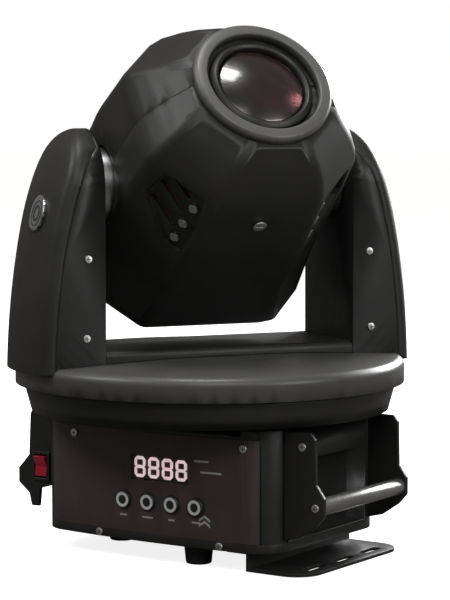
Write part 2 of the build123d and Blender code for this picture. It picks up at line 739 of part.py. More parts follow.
with BuildPart() as arm_badges:
    add(badge.part)
    add(badge.part.mirror(Plane.YZ))
write(arm_badges, "arm_badges", YOKE)

with BuildPart() as axis_bearings:
    with BuildSketch(Plane.XY.offset(PLATE_Z - 3)):
        Circle(32)
        Circle(SPINDLE_R + FIT, mode=Mode.SUBTRACT)
    extrude(amount=10)
    with BuildSketch(Plane.XY.offset(PLATE_Z + WALL)):
        Circle(40)
        Circle(SPINDLE_R + FIT, mode=Mode.SUBTRACT)
    extrude(amount=4)
    for start in (ARM_IN_X + WALL, -ARM_IN_X - WALL - 8):
        with BuildSketch(Plane.YZ.offset(start)):
            with Locations((0, PIVOT_Z)):
                Circle(22)
                Circle(SHAFT_R + FIT, mode=Mode.SUBTRACT)
        extrude(amount=8)
write(axis_bearings, "axis_bearings", YOKE)

TILT_PLANE = Plane.YZ.offset(TILT_BELT_X)
with BuildPart() as axis_motors:
    add(motor(Plane.XY, (PAN_MOTOR_X, 0), 172, 21, PAN_BELT_Z))
    add(motor(Plane.YZ, (0, TILT_MOTOR_Z), 153, 26, TILT_BELT_X))
write(axis_motors, "axis_motors", YOKE)

with BuildPart() as motor_brackets:
    with BuildSketch(Plane.XY.offset(PLATE_Z + WALL)):
        with Locations((PAN_MOTOR_X, 0)):
            Rectangle(44, 48)
            Rectangle(44, 44, mode=Mode.SUBTRACT)
    extrude(amount=172 - PLATE_Z - WALL)
    with BuildSketch(Plane.XY.offset(172 - 1.5)):
        with Locations((PAN_MOTOR_X, 0)):
            Rectangle(44, 44)
            Circle(6, mode=Mode.SUBTRACT)
    extrude(amount=1.5)
    with BuildSketch(Plane.YZ.offset(ARM_IN_X + WALL)):
        with Locations((0, TILT_MOTOR_Z)):
            Rectangle(50, 46)
            Rectangle(46, 46, mode=Mode.SUBTRACT)
    extrude(amount=153 - ARM_IN_X - WALL)
    with BuildSketch(Plane.YZ.offset(153 - 1.5)):
        with Locations((0, TILT_MOTOR_Z)):
            Rectangle(46, 46)
            Circle(6, mode=Mode.SUBTRACT)
    extrude(amount=1.5)
write(motor_brackets, "motor_brackets", YOKE)

with BuildPart() as tilt_motor_pulley:
    add(pulley(MOTOR_TEETH, MOTOR_SHAFT_R + FIT, TILT_PLANE, (0, TILT_MOTOR_Z)))
write(tilt_motor_pulley, "tilt_motor_pulley", YOKE)

with BuildPart() as tilt_belt:
    add(belt(TILT_PLANE, pitch_radius(TILT_TEETH), (0, PIVOT_Z),
             pitch_radius(MOTOR_TEETH), (0, TILT_MOTOR_Z)))
write(tilt_belt, "tilt_belt", YOKE)


# ---------------------------------------------------------------- head: octagonal shells
def octagon(height, half_w, rise, drop, cut_top, cut_low, rounding=0):
    """An eight-sided outline across the optical axis, its corners cut at 45 degrees."""
    with BuildSketch(Plane.XY.offset(height)) as outline:
        with BuildLine():
            Polyline([(half_w, cut_low - drop), (half_w, rise - cut_top), (half_w - cut_top, rise),
                      (cut_top - half_w, rise), (-half_w, rise - cut_top), (-half_w, cut_low - drop),
                      (cut_low - half_w, -drop), (half_w - cut_low, -drop)], close=True)
        make_face()
        if rounding:
            fillet(outline.vertices(), rounding)
    return outline.sketch


def toward(ring, other, reach):
    """The ring a little way along the line toward the next one."""
    share = reach / abs(other[0] - ring[0])
    return tuple(start + (end - start) * share for start, end in zip(ring, other))


def softened_rings():
    """The head's rings, with two close together in place of each one at a crease."""
    rings = [HEAD_RINGS[0]]
    for before, ring, after in zip(HEAD_RINGS, HEAD_RINGS[1:], HEAD_RINGS[2:]):
        rings += [toward(ring, before, RING_SOFTEN), toward(ring, after, RING_SOFTEN)]
    return rings + [HEAD_RINGS[-1]]


def head_solid(inset):
    """The head's outside, or its inside when inset by the wall."""
    stations = []
    for height, half_w, rise, drop, cut_top, cut_low in softened_rings():
        step = inset
        if height == HEAD_REAR_Z:
            height += inset
        if height == NOSE_Z:
            height -= inset
            step = inset * 0.4
        trim = step * 0.6
        stations.append(octagon(height, half_w - step, rise - step, drop - step, cut_top - trim,
                                cut_low - trim, HEAD_ROUND - trim))
    with BuildPart() as solid:
        for low, high in zip(stations, stations[1:]):
            loft([low, high], ruled=True)
    return solid.part


VENT_Z = 67.5
VENT_X = 81.25
VENT_Y = 70.25
VENT_SLOPE = 0.108    # the facet closes in toward the nose
VENT_DEPTH = 7.5
VENT_FLOOR = 2.5
VENT_OUTLINE = [(-17, 30), (-25, -4), (10, -46), (30, -48), (33, -8), (28, 30)]
VENT_SLOTS = [((-19, -6), (13, -25)), ((-17, 16), (13, -2)), ((-8, 29), (14, 16))]
VENT_SLOT_W = 5.0
VENT_PADS = [(18, -34), (19, -13), (21, 10)]


def vent_plane(depth):
    """A plane along the head's lower left facet, moved in by the depth; its y runs toward the nose."""
    normal = Vector(-1, -1, VENT_SLOPE).normalized()
    centre = Vector(-VENT_X, -VENT_Y, VENT_Z) - normal * depth
    return Plane(origin=centre, x_dir=Vector(1, -1, 0), z_dir=normal)


def vent_block(plane, shrink, height):
    """A block on the vent's outline, a little smaller all round."""
    with BuildPart() as block:
        with BuildSketch(plane):
            with BuildLine():
                Polyline(VENT_OUTLINE, close=True)
            make_face()
            if shrink:
                offset(amount=-shrink, mode=Mode.REPLACE)
        extrude(amount=height)
    return block.part


VENT_CUT = vent_block(vent_plane(VENT_DEPTH + 1), 0, 20)
FAN_R = 36.0
LATCH_Z = 70.0
LATCH_Y = 97.9        # just outside the tapering underside


def head_cover(upper):
    """One half of the head's casing, cut through for the hubs, vents, fan and collar."""
    with BuildPart() as cover:
        add(head_solid(0))
        add(head_solid(WALL), mode=Mode.SUBTRACT)
        with BuildSketch(Plane.XZ.offset(-0.2 if upper else 0.2)):
            with Locations((0, 20)):
                Rectangle(260, 320)
        extrude(amount=-130 if upper else 130, mode=Mode.INTERSECT)
        with BuildSketch(Plane.YZ.offset(-130)):
            Circle(HUB_R + 2)
        extrude(amount=260, mode=Mode.SUBTRACT)
        with BuildSketch(Plane.XY.offset(NOSE_Z - 5)):
            Circle(BARREL_R + 1)
        extrude(amount=10, mode=Mode.SUBTRACT)
        with BuildSketch(Plane.XY.offset(HEAD_REAR_Z - 1)):
            with GridLocations(9, 0.1, 7, 1):
                SlotOverall(62, 4, rotation=90)
        extrude(amount=6, mode=Mode.SUBTRACT)
        if not upper:
            add(VENT_CUT, mode=Mode.SUBTRACT)
            add(VENT_CUT.mirror(Plane.YZ), mode=Mode.SUBTRACT)
            with BuildSketch(Plane.XZ.offset(LATCH_Y - 8)):
                with Locations((0, LATCH_Z)):
                    Circle(3.2)
            extrude(amount=10, mode=Mode.SUBTRACT)
    return cover.part


for name, upper in (("top", True), ("bottom", False)):
    with BuildPart() as cover_half:
        add(head_cover(upper))
    write(cover_half, f"head_{name}_cover", HEAD)

with BuildPart() as grille:
    add(vent_block(vent_plane(VENT_DEPTH), 0.2, VENT_DEPTH - 1))
    add(vent_block(vent_plane(VENT_DEPTH - VENT_FLOOR), 2, VENT_DEPTH), mode=Mode.SUBTRACT)
    for start, end in VENT_SLOTS:
        middle = ((start[0] + end[0]) / 2, (start[1] + end[1]) / 2)
        slant = math.degrees(math.atan2(end[1] - start[1], end[0] - start[0]))
        with BuildSketch(vent_plane(VENT_DEPTH)):
            with Locations(middle):
                SlotOverall(math.dist(start, end), VENT_SLOT_W, rotation=slant)
        extrude(amount=VENT_DEPTH, mode=Mode.SUBTRACT)
    with BuildSketch(vent_plane(VENT_DEPTH - VENT_FLOOR)):
        with Locations(VENT_PADS):
            RectangleRounded(9, 9, 2, rotation=-30)
    extrude(amount=3)

with BuildPart() as vent_grilles:
    add(grille.part)
    add(grille.part.mirror(Plane.YZ))
write(vent_grilles, "vent_grilles", HEAD)

with BuildPart() as cover_latch:
    with BuildSketch(Plane.XZ.offset(LATCH_Y - 11)):
        with Locations((0, LATCH_Z)):
            Circle(3)
    extrude(amount=11)
    with BuildSketch(Plane.XZ.offset(LATCH_Y)):
        with Locations((0, LATCH_Z)):
            Circle(6.5)
            Rectangle(9, 1.6, mode=Mode.SUBTRACT)
    extrude(amount=1.8)
write(cover_latch, "cover_latch", HEAD)

# ---------------------------------------------------------------- head: front optics
with BuildPart() as front_collar:
    with BuildSketch(Plane.XY.offset(NOSE_Z)):
        Circle(COLLAR_R)
        Circle(COLLAR_BORE_R, mode=Mode.SUBTRACT)
    extrude(amount=COLLAR_Z - NOSE_Z)
    chamfer(front_collar.faces().sort_by(Axis.Z)[-1].outer_wire().edges(), 3)
    fillet(front_collar.faces().sort_by(Axis.Z)[-1].inner_wires()[0].edges(), 2)
write(front_collar, "front_collar", HEAD)

FLANGE_Z = NOSE_Z - WALL - 0.3
LENS_BACK = 146.0
with BuildPart() as lens_barrel:
    with BuildSketch(Plane.XZ):
        with BuildLine():
            Polyline([(LENS_R - 3, 128), (BARREL_R, 128), (BARREL_R, FLANGE_Z - 3.2), (60, FLANGE_Z - 3.2),
                      (60, FLANGE_Z), (BARREL_R, FLANGE_Z), (BARREL_R, 153), (LENS_R + 3, 156),
                      (LENS_R + 0.3, 154), (LENS_R + 0.3, LENS_BACK), (LENS_R - 3, LENS_BACK)], close=True)
        make_face()
    revolve(axis=Axis.Z)
write(lens_barrel, "lens_barrel", HEAD)

def lens_face(radius, back, edge, apex):
    """A plano-convex lens in half section: flat back, short edge, spherical front."""
    rise = apex - edge
    sphere = (radius ** 2 + rise ** 2) / (2 * rise)
    middle = apex - sphere + math.sqrt(sphere ** 2 - radius ** 2 / 4)
    with BuildSketch(Plane.XZ) as half:
        with BuildLine():
            Polyline([(0, apex), (0, back), (radius, back), (radius, edge)])
            ThreePointArc((radius, edge), (radius / 2, middle), (0, apex))
        make_face()
    return half.sketch


with BuildPart() as front_lens:
    add(lens_face(LENS_R, LENS_BACK, 150, 159))
    revolve(axis=Axis.Z)
write(front_lens, "front_lens", HEAD)

# ---------------------------------------------------------------- head: chassis and shafts
SIDE_X = 99.0
REAR_PLATE_Z = -62.0
MID_PLATE_Z = -22.0
ROD_X = 46.0
ROD_R = 3.0
with BuildPart() as head_chassis:
    for height, half_w, half_h, cut, hole in ((BULKHEAD_Z, 102, 90, 50, 13), (MID_PLATE_Z, 102, 88, 50, 26),
                                              (REAR_PLATE_Z, 102, 88, 50, 9)):
        extrude(octagon(height, half_w, half_h, half_h, cut, cut), WALL)
        with BuildSketch(Plane.XY.offset(height)):
            Circle(hole)
        extrude(amount=WALL, mode=Mode.SUBTRACT)
    for start in (SIDE_X, -SIDE_X - WALL):
        with BuildSketch(Plane.YZ.offset(start)):
            with Locations((0, (BULKHEAD_Z + WALL + REAR_PLATE_Z) / 2)):
                Rectangle(76, BULKHEAD_Z + WALL - REAR_PLATE_Z)
        extrude(amount=WALL)
    with BuildSketch(Plane.XY.offset(BULKHEAD_Z + WALL)):
        with Locations((-ROD_X, 0), (ROD_X, 0)):
            Circle(ROD_R)
    extrude(amount=84)
write(head_chassis, "head_chassis", HEAD)

HUB_START = SIDE_X + WALL
with BuildPart() as tilt_shafts:
    for sign, reach in ((-1, 142.0), (1, TILT_BELT_X + PULLEY_W + 1)):
        with BuildSketch(Plane.YZ.offset(sign * HUB_START)):
            Circle(HUB_R)
        extrude(amount=sign * (124.5 - HUB_START))
        with BuildSketch(Plane.YZ.offset(sign * 124.5)):
            Circle(SHAFT_R)
        extrude(amount=sign * (reach - 124.5))
write(tilt_shafts, "tilt_shafts", HEAD)

with BuildPart() as tilt_pulley:
    add(pulley(TILT_TEETH, SHAFT_R + 0.1, TILT_PLANE, (0, 0)))
write(tilt_pulley, "tilt_pulley", HEAD)

# ---------------------------------------------------------------- head: lamp, wheels, focus, fan
with BuildPart() as lamp_reflector:
    with BuildSketch(Plane.XZ):
        with BuildLine():
            Spline((12, -56), (32, -46), (44, -25))
            Line((44, -25), (46, -25))
            Spline((46, -25), (33.5, -48), (12, -58))
            Line((12, -58), (12, -56))
        make_face()
    revolve(axis=Axis.Z)
write(lamp_reflector, "lamp_reflector", HEAD)

with BuildPart() as lamp:
    with BuildSketch(Plane.XY.offset(REAR_PLATE_Z - 14)):
        Circle(18)
    extrude(amount=14)
    with BuildSketch(Plane.XY.offset(REAR_PLATE_Z)):
        Circle(8)
    extrude(amount=12)
    with BuildSketch(Plane.XY.offset(REAR_PLATE_Z + 12)):
        Circle(6)
    extrude(amount=22)
    fillet(lamp.faces().sort_by(Axis.Z)[-1].edges(), 3)
write(lamp, "lamp", HEAD)

COLOUR_Z = -12.0
GOBO_Z = -3.0
for name, spot_y, wheel_z, openings, opening_r in (("colour_wheel", WHEEL_Y, COLOUR_Z, 7, 10.5),
                                                   ("gobo_wheel", -WHEEL_Y, GOBO_Z, 8, 9.0)):
    with BuildPart() as wheel:
        with BuildSketch(Plane.XY.offset(wheel_z)):
            with Locations((0, spot_y)):
                Circle(WHEEL_R)
                Circle(MOTOR_SHAFT_R + FIT, mode=Mode.SUBTRACT)
                with PolarLocations(WHEEL_Y - 1, openings, -90 if spot_y > 0 else 90):
                    Circle(opening_r, mode=Mode.SUBTRACT)
        extrude(amount=1.6)
        with BuildSketch(Plane.XY.offset(wheel_z)):
            with Locations((0, spot_y)):
                Circle(7)
                Circle(MOTOR_SHAFT_R + FIT, mode=Mode.SUBTRACT)
        extrude(amount=5)
    write(wheel, name, HEAD)

WHEEL_MOTOR_W = 34.0
with BuildPart() as wheel_motors:
    for spot_y, wheel_z in ((WHEEL_Y, COLOUR_Z), (-WHEEL_Y, GOBO_Z)):
        add(motor(Plane.XY, (0, spot_y), BULKHEAD_Z - 26, 26, wheel_z, width=WHEEL_MOTOR_W))
write(wheel_motors, "wheel_motors", HEAD)

with BuildPart() as focus_carriage:
    with BuildSketch(Plane.XY.offset(78)):
        Circle(38)
        Rectangle(2 * ROD_X + 14, 14)
        Circle(28, mode=Mode.SUBTRACT)
        with Locations((-ROD_X, 0), (ROD_X, 0)):
            Circle(ROD_R + FIT, mode=Mode.SUBTRACT)
    extrude(amount=12)
    add(lens_face(28, 81, 84, 88.5))
    revolve(axis=Axis.Z)
write(focus_carriage, "focus_carriage", HEAD)

FAN_Z = HEAD_REAR_Z + WALL + 0.2
with BuildPart() as fan_housing:
    with BuildSketch(Plane.XY.offset(FAN_Z)):
        RectangleRounded(80, 80, 5)
        Circle(FAN_R + 2, mode=Mode.SUBTRACT)
    extrude(amount=15)
    with BuildSketch(Plane.XY.offset(FAN_Z + 13)):
        Circle(12)
        Rectangle(80, 4)
        Rectangle(4, 80)
    extrude(amount=2)
    with BuildSketch(Plane.XY.offset(FAN_Z + 2)):
        Circle(3)
    extrude(amount=12)
write(fan_housing, "fan_housing", HEAD)

with BuildPart() as fan_rotor:
    with BuildSketch(Plane.XY.offset(FAN_Z + 2)):
        Circle(14)
        with PolarLocations(24, 7):
            Rectangle(FAN_R - 12, 9)
        Circle(FAN_R, mode=Mode.INTERSECT)
        Circle(3 + FIT, mode=Mode.SUBTRACT)
    extrude(amount=9)
write(fan_rotor, "fan_rotor", HEAD)
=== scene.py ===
import json
import math

import bmesh
import bpy
from mathutils import Matrix, Vector
from mathutils.bvhtree import BVHTree


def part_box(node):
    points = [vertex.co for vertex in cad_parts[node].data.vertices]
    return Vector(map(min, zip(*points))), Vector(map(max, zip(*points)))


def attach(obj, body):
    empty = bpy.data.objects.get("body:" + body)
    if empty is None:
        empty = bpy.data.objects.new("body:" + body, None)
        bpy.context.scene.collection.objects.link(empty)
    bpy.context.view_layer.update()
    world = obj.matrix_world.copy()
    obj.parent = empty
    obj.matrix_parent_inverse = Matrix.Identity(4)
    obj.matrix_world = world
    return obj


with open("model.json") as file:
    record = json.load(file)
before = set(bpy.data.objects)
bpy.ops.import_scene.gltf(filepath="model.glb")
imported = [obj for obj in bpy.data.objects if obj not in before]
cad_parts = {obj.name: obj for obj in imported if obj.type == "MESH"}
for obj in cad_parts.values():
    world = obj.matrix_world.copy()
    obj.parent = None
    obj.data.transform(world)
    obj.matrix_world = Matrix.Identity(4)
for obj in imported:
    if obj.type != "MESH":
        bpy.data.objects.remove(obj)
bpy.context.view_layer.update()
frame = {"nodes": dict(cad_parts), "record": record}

NODES = frame["nodes"]
JOINTS = {joint["name"]: joint for joint in frame["record"]["behaviour"]["joints"]}
SLOTS = {part["node"]: part["material_slot"] for part in frame["record"]["subparts"]}
MM = 0.001

# ---------------------------------------------------------------- directions of the yoke and the head
tilt_joint = JOINTS["tilt"]
pivot = Vector(tilt_joint["pos_m"])
yoke_x = Vector(tilt_joint["axis"]).normalized()
up = Vector((0, 0, 1))
beam = Vector(JOINTS["focus_slide"]["axis"]).normalized()
head_frame = Matrix.Translation(pivot) @ Matrix((yoke_x, beam.cross(yoke_x), beam)).transposed().to_4x4()


# ---------------------------------------------------------------- materials
def shader(name):
    """A new node material and its nodes, links and main shader."""
    material = bpy.data.materials.new(name)
    material.use_nodes = True
    tree = material.node_tree
    return material, tree.nodes, tree.links, tree.nodes["Principled BSDF"]


def noise(nodes, links, scale, detail=4.0, rough=0.55, stretch=(1, 1, 1)):
    """Noise over the object's own coordinates, in cycles per metre."""
    coords = nodes.new("ShaderNodeTexCoord")
    mapping = nodes.new("ShaderNodeMapping")
    mapping.inputs["Scale"].default_value = stretch
    texture = nodes.new("ShaderNodeTexNoise")
    texture.inputs["Scale"].default_value = scale
    texture.inputs["Detail"].default_value = detail
    texture.inputs["Roughness"].default_value = rough
    links.new(coords.outputs["Object"], mapping.inputs["Vector"])
    links.new(mapping.outputs["Vector"], texture.inputs["Vector"])
    return texture.outputs["Fac"]


def ramp(nodes, links, source, stops):
    """A colour ramp with the given (position, colour) stops."""
    node = nodes.new("ShaderNodeValToRGB")
    elements = node.color_ramp.elements
    while len(elements) < len(stops):
        elements.new(0.5)
    for element, (position, colour) in zip(elements, stops):
        element.position = position
        element.color = (*colour, 1)
    links.new(source, node.inputs["Fac"])
    return node.outputs["Color"]


def span(nodes, links, source, low, high):
    """The source's 0 to 1 mapped to low to high."""
    node = nodes.new("ShaderNodeMapRange")
    node.inputs["From Min"].default_value = 0.3
    node.inputs["From Max"].default_value = 0.7
    node.inputs["To Min"].default_value = low
    node.inputs["To Max"].default_value = high
    links.new(source, node.inputs["Value"])
    return node.outputs["Result"]


def bump(nodes, links, source, strength, distance):
    """The surface direction tipped by the source's height."""
    node = nodes.new("ShaderNodeBump")
    node.inputs["Strength"].default_value = strength
    node.inputs["Distance"].default_value = distance
    links.new(source, node.inputs["Height"])
    return node.outputs["Normal"]


def coated(name, dark, light, rough, grain, grain_depth, metallic=0.0, stretch=(1, 1, 1)):
    """A grained or brushed surface whose colour and gloss drift over its area."""
    material, nodes, links, main = shader(name)
    drift = noise(nodes, links, 14.0)
    fine = noise(nodes, links, grain, 3.0, 0.6, stretch)
    links.new(ramp(nodes, links, drift, [(0.3, dark), (0.7, light)]), main.inputs["Base Color"])
    links.new(span(nodes, links, noise(nodes, links, 45.0), *rough), main.inputs["Roughness"])
    links.new(bump(nodes, links, fine, 0.5, grain_depth), main.inputs["Normal"])
    main.inputs["Metallic"].default_value = metallic
    return material


def clear(name, tint, rough):
    """Glass with faint smears in its gloss."""
    material, nodes, links, main = shader(name)
    film = noise(nodes, links, 60.0)
    paler = tuple(min(1, channel * 1.25) for channel in tint)
    links.new(ramp(nodes, links, film, [(0.3, tint), (0.75, paler)]), main.inputs["Base Color"])
    links.new(span(nodes, links, film, *rough), main.inputs["Roughness"])
    main.inputs["Transmission Weight"].default_value = 1.0
    main.inputs["IOR"].default_value = 1.5
    return material


MATERIALS = {
    "textured_black": coated("textured_black", (0.020, 0.0195, 0.0185), (0.028, 0.027, 0.026),
                             (0.42, 0.52), 2600, 0.00006),
    "painted_black": coated("painted_black", (0.017, 0.016, 0.0155), (0.024, 0.023, 0.022),
                            (0.36, 0.46), 2200, 0.00004),
    "panel_black": coated("panel_black", (0.062, 0.044, 0.041), (0.080, 0.058, 0.054),
                          (0.38, 0.48), 2200, 0.00003),
    "rubber_black": coated("rubber_black", (0.012, 0.012, 0.012), (0.022, 0.022, 0.022),
                           (0.65, 0.8), 900, 0.0001),
    "belt_rubber": coated("belt_rubber", (0.010, 0.010, 0.010), (0.018, 0.018, 0.018),
                          (0.6, 0.75), 1500, 0.00008),
    "grip_grey": coated("grip_grey", (0.24, 0.24, 0.235), (0.32, 0.32, 0.31), (0.22, 0.34), 1800, 0.00003,
                        metallic=0.6),
    "button_black": coated("button_black", (0.02, 0.02, 0.02), (0.03, 0.03, 0.03),
                           (0.25, 0.35), 1500, 0.00002),
    "display_body": coated("display_body", (0.03, 0.028, 0.028), (0.05, 0.045, 0.045),
                           (0.5, 0.6), 1500, 0.00003),
    "board_green": coated("board_green", (0.01, 0.08, 0.03), (0.02, 0.12, 0.05), (0.35, 0.5), 900, 0.00004),
    "switch_red": coated("switch_red", (0.50, 0.012, 0.035), (0.62, 0.02, 0.06), (0.18, 0.28), 900, 0.00002),
    "socket_black": coated("socket_black", (0.015, 0.015, 0.015), (0.025, 0.025, 0.025),
                           (0.3, 0.42), 1500, 0.00003),
    "bright_steel": coated("bright_steel", (0.5, 0.5, 0.5), (0.6, 0.6, 0.6), (0.2, 0.35), 700, 0.00002,
                           metallic=1.0, stretch=(1, 1, 12)),
    "zinc_steel": coated("zinc_steel", (0.42, 0.42, 0.40), (0.55, 0.55, 0.52), (0.3, 0.45), 260, 0.00003,
                         metallic=1.0),
    "alloy": coated("alloy", (0.55, 0.55, 0.56), (0.65, 0.65, 0.66), (0.28, 0.4), 900, 0.00002,
                    metallic=1.0),
    "screw_steel": coated("screw_steel", (0.68, 0.68, 0.67), (0.8, 0.8, 0.79), (0.35, 0.48), 900, 0.00003,
                          metallic=1.0),
    "badge_silver": coated("badge_silver", (0.55, 0.55, 0.56), (0.68, 0.68, 0.69),
                           (0.25, 0.35), 900, 0.00002, metallic=1.0, stretch=(1, 8, 1)),
    "motor_black": coated("motor_black", (0.02, 0.02, 0.02), (0.03, 0.03, 0.03), (0.4, 0.5), 1200, 0.00003),
    "fan_black": coated("fan_black", (0.012, 0.012, 0.012), (0.02, 0.02, 0.02), (0.45, 0.55), 1500, 0.00003),
    "copper_iron": coated("copper_iron", (0.16, 0.07, 0.03), (0.25, 0.12, 0.06), (0.4, 0.55), 400, 0.0001,
                          metallic=0.7),
    "mirror_bowl": coated("mirror_bowl", (0.82, 0.82, 0.83), (0.9, 0.9, 0.9), (0.05, 0.12), 300, 0.00002,
                          metallic=1.0),
    "display_lit": clear("display_lit", (0.75, 0.66, 0.68), (0.03, 0.08)),
    "lens_glass": clear("lens_glass", (0.55, 0.40, 0.45), (0.08, 0.14)),
    "lamp_glass": clear("lamp_glass", (0.9, 0.9, 0.92), (0.03, 0.08)),
}

PRINT_WHITE = coated("print_white", (0.78, 0.76, 0.76), (0.86, 0.85, 0.85), (0.4, 0.5), 1500, 0.00001)
PRINT_GREY = coated("print_grey", (0.42, 0.41, 0.41), (0.52, 0.51, 0.51), (0.4, 0.5), 1500, 0.00001)
PAD_GREY = coated("pad_grey", (0.20, 0.195, 0.19), (0.27, 0.265, 0.26), (0.35, 0.45), 1500, 0.00002)
# a near-black used as painted shade in the screws' cross recesses and as the dark rings on the badges
PAINTED_SHADE_AND_DARK_RINGS = coated("painted_shade_and_dark_rings", (0.03, 0.03, 0.03), (0.06, 0.06, 0.06), (0.5, 0.6), 1500, 0.00001)


def glowing(name, dim, bright, strength):
    """A lit surface whose glow drifts slightly."""
    material, nodes, links, main = shader(name)
    colour = ramp(nodes, links, noise(nodes, links, 90.0), [(0.35, dim), (0.65, bright)])
    links.new(colour, main.inputs["Base Color"])
    links.new(colour, main.inputs["Emission Color"])
    main.inputs["Emission Strength"].default_value = strength
    main.inputs["Roughness"].default_value = 0.5
    return material


DIGITS = glowing("digits", (0.80, 0.66, 0.70), (0.92, 0.80, 0.83), 0.9)

for node, obj in NODES.items():
    obj.data.materials.clear()
    obj.data.materials.append(MATERIALS[SLOTS[node]])

# the collar gets a paler, glossier copy of the black plastic; its paleness is painted sheen standing in for
# the light on it, and the shade is a guess
COLLAR_PAINTED_SHEEN = coated("collar_painted_sheen", (0.12, 0.119, 0.116), (0.15, 0.149, 0.145), (0.34, 0.42), 2600, 0.00003)
NODES["front_collar"].data.materials[0] = COLLAR_PAINTED_SHEEN

# the disc under the arms gets a paler, smoother copy of the black plastic; its paleness is painted sheen
# standing in for the light on it, and the shade is a guess
DISC_PAINTED_SHEEN = coated("disc_painted_sheen", (0.085, 0.084, 0.082), (0.108, 0.107, 0.104), (0.33, 0.41), 2600, 0.00004)
NODES["yoke_upper_cover"].data.materials[0] = DISC_PAINTED_SHEEN

# the lens has a warm-tinted coating; the tint is a guess
lens_main = MATERIALS["lens_glass"].node_tree.nodes["Principled BSDF"]
lens_main.inputs["Coat Weight"].default_value = 1.0
lens_main.inputs["Coat IOR"].default_value = 1.7
lens_main.inputs["Coat Roughness"].default_value = 0.24
lens_main.inputs["Coat Tint"].default_value = (0.95, 0.76, 0.74, 1)


# ---------------------------------------------------------------- softened edges on the CAD pieces
WELD_GAP = 0.02 * MM


def soften(node, width, angle=28.0, segments=3):
    """Rounds a CAD piece's hard edges without touching its own mesh."""
    obj = NODES[node]
    weld = obj.modifiers.new("weld", "WELD")
    weld.merge_threshold = WELD_GAP
    flat = obj.modifiers.new("flatten", "DECIMATE")
    flat.decimate_type = "DISSOLVE"
    flat.angle_limit = math.radians(0.6)
    bevel = obj.modifiers.new("soften", "BEVEL")
    bevel.width = width
    bevel.segments = segments
    bevel.limit_method = "ANGLE"
    bevel.angle_limit = math.radians(angle)
    bevel.harden_normals = True
    for face in obj.data.polygons:
        face.use_smooth = True


def smooth(node, angle=24.0):
    """Shades a CAD piece smooth across its shallow edges."""
    obj = NODES[node]
    weld = obj.modifiers.new("weld", "WELD")
    weld.merge_threshold = WELD_GAP
    for face in obj.data.polygons:
        face.use_smooth = True
    with bpy.context.temp_override(object=obj, active_object=obj, selected_objects=[obj],
                                   selected_editable_objects=[obj]):
        bpy.ops.object.shade_auto_smooth(angle=math.radians(angle))
    weighted = obj.modifiers.new("even", "WEIGHTED_NORMAL")
    weighted.keep_sharp = True
    weighted.weight = 90


SOFTENED = {
    "base_tray": 0.8, "front_panel": 0.5, "handle_cheeks_left": 0.7, "handle_cheeks_right": 0.7,
    "mounting_bracket": 0.6, "bracket_fasteners": 0.5, "panel_screws": 0.5, "arm_screws": 0.5,
    "power_switch_frame": 0.5, "power_rocker": 0.8, "rear_panel": 0.3, "signal_sockets": 0.4,
    "power_inlet": 0.4, "rubber_feet": 1.2, "cover_latch": 0.4, "yoke_crossbeam": 0.8,
    "grip_bars": 1.0, "display_window": 0.4, "lens_barrel": 0.5, "tilt_shafts": 0.8, "ballast": 1.0,
    "vent_grilles": 0.4, "axis_motors": 0.5, "wheel_motors": 0.5, "motor_brackets": 0.3,
}
for node, width in SOFTENED.items():
    soften(node, width * MM)
for node in NODES:
    if node not in SOFTENED:
        smooth(node)


# ---------------------------------------------------------------- small pieces built as meshes
def to_object(name, build, material, body, edge=0.0):
    """A finished bmesh as an object that moves with a body."""
    bmesh.ops.recalc_face_normals(build, faces=build.faces)
    mesh = bpy.data.meshes.new(name)
    build.to_mesh(mesh)
    build.free()
    mesh.materials.append(material)
    obj = bpy.data.objects.new(name, mesh)
    bpy.context.scene.collection.objects.link(obj)
    if edge:
        bevel = obj.modifiers.new("edge", "BEVEL")
        bevel.width = edge
        bevel.segments = 2
    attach(obj, body)
    return obj


def add_prism(build, place, outline, height, start=0.0):
    """A flat shape of the given outline, from start to height along the place's z."""
    low = [build.verts.new(place @ Vector((x, y, start))) for x, y in outline]
    high = [build.verts.new(place @ Vector((x, y, height))) for x, y in outline]
    build.faces.new(low)
    build.faces.new(high)
    for index in range(len(outline)):
        after = (index + 1) % len(outline)
        build.faces.new((low[index], low[after], high[after], high[index]))


def add_ring(build, place, inner, outer, height, start=0.0, steps=48):
    """A flat ring about the place's z."""
    loops = []
    for radius, level in ((inner, start), (outer, start), (outer, height), (inner, height)):
        loops.append([build.verts.new(place @ Vector((radius * math.cos(2 * math.pi * step / steps),
                                                      radius * math.sin(2 * math.pi * step / steps), level)))
                      for step in range(steps)])
    for one, two in zip(loops, loops[1:] + loops[:1]):
        for step in range(steps):
            after = (step + 1) % steps
            build.faces.new((one[step], one[after], two[after], two[step]))


def bar(width, height, x=0.0, y=0.0):
    """A rectangle's outline about a point."""
    return [(x - width / 2, y - height / 2), (x + width / 2, y - height / 2),
            (x + width / 2, y + height / 2), (x - width / 2, y + height / 2)]


def facing(point, outward, upward):
    """A place at a point whose z looks outward and whose y goes upward."""
    z = Vector(outward).normalized()
    x = Vector(upward).cross(z).normalized()
    return Matrix.Translation(Vector(point)) @ Matrix((x, z.cross(x), z)).transposed().to_4x4()


def on_surface(node, point, outward, upward=up):
    """The place where a line coming in toward the point first meets a CAD node."""
    direction = Vector(outward).normalized()
    tree = SURFACES.setdefault(node, BVHTree.FromObject(NODES[node], bpy.context.evaluated_depsgraph_get()))
    start = Vector(point) + direction * 0.08
    spot, normal = tree.ray_cast(start, -direction)[:2]
    if normal.dot(direction) < 0:
        normal = -normal
    return facing(spot, normal, upward)


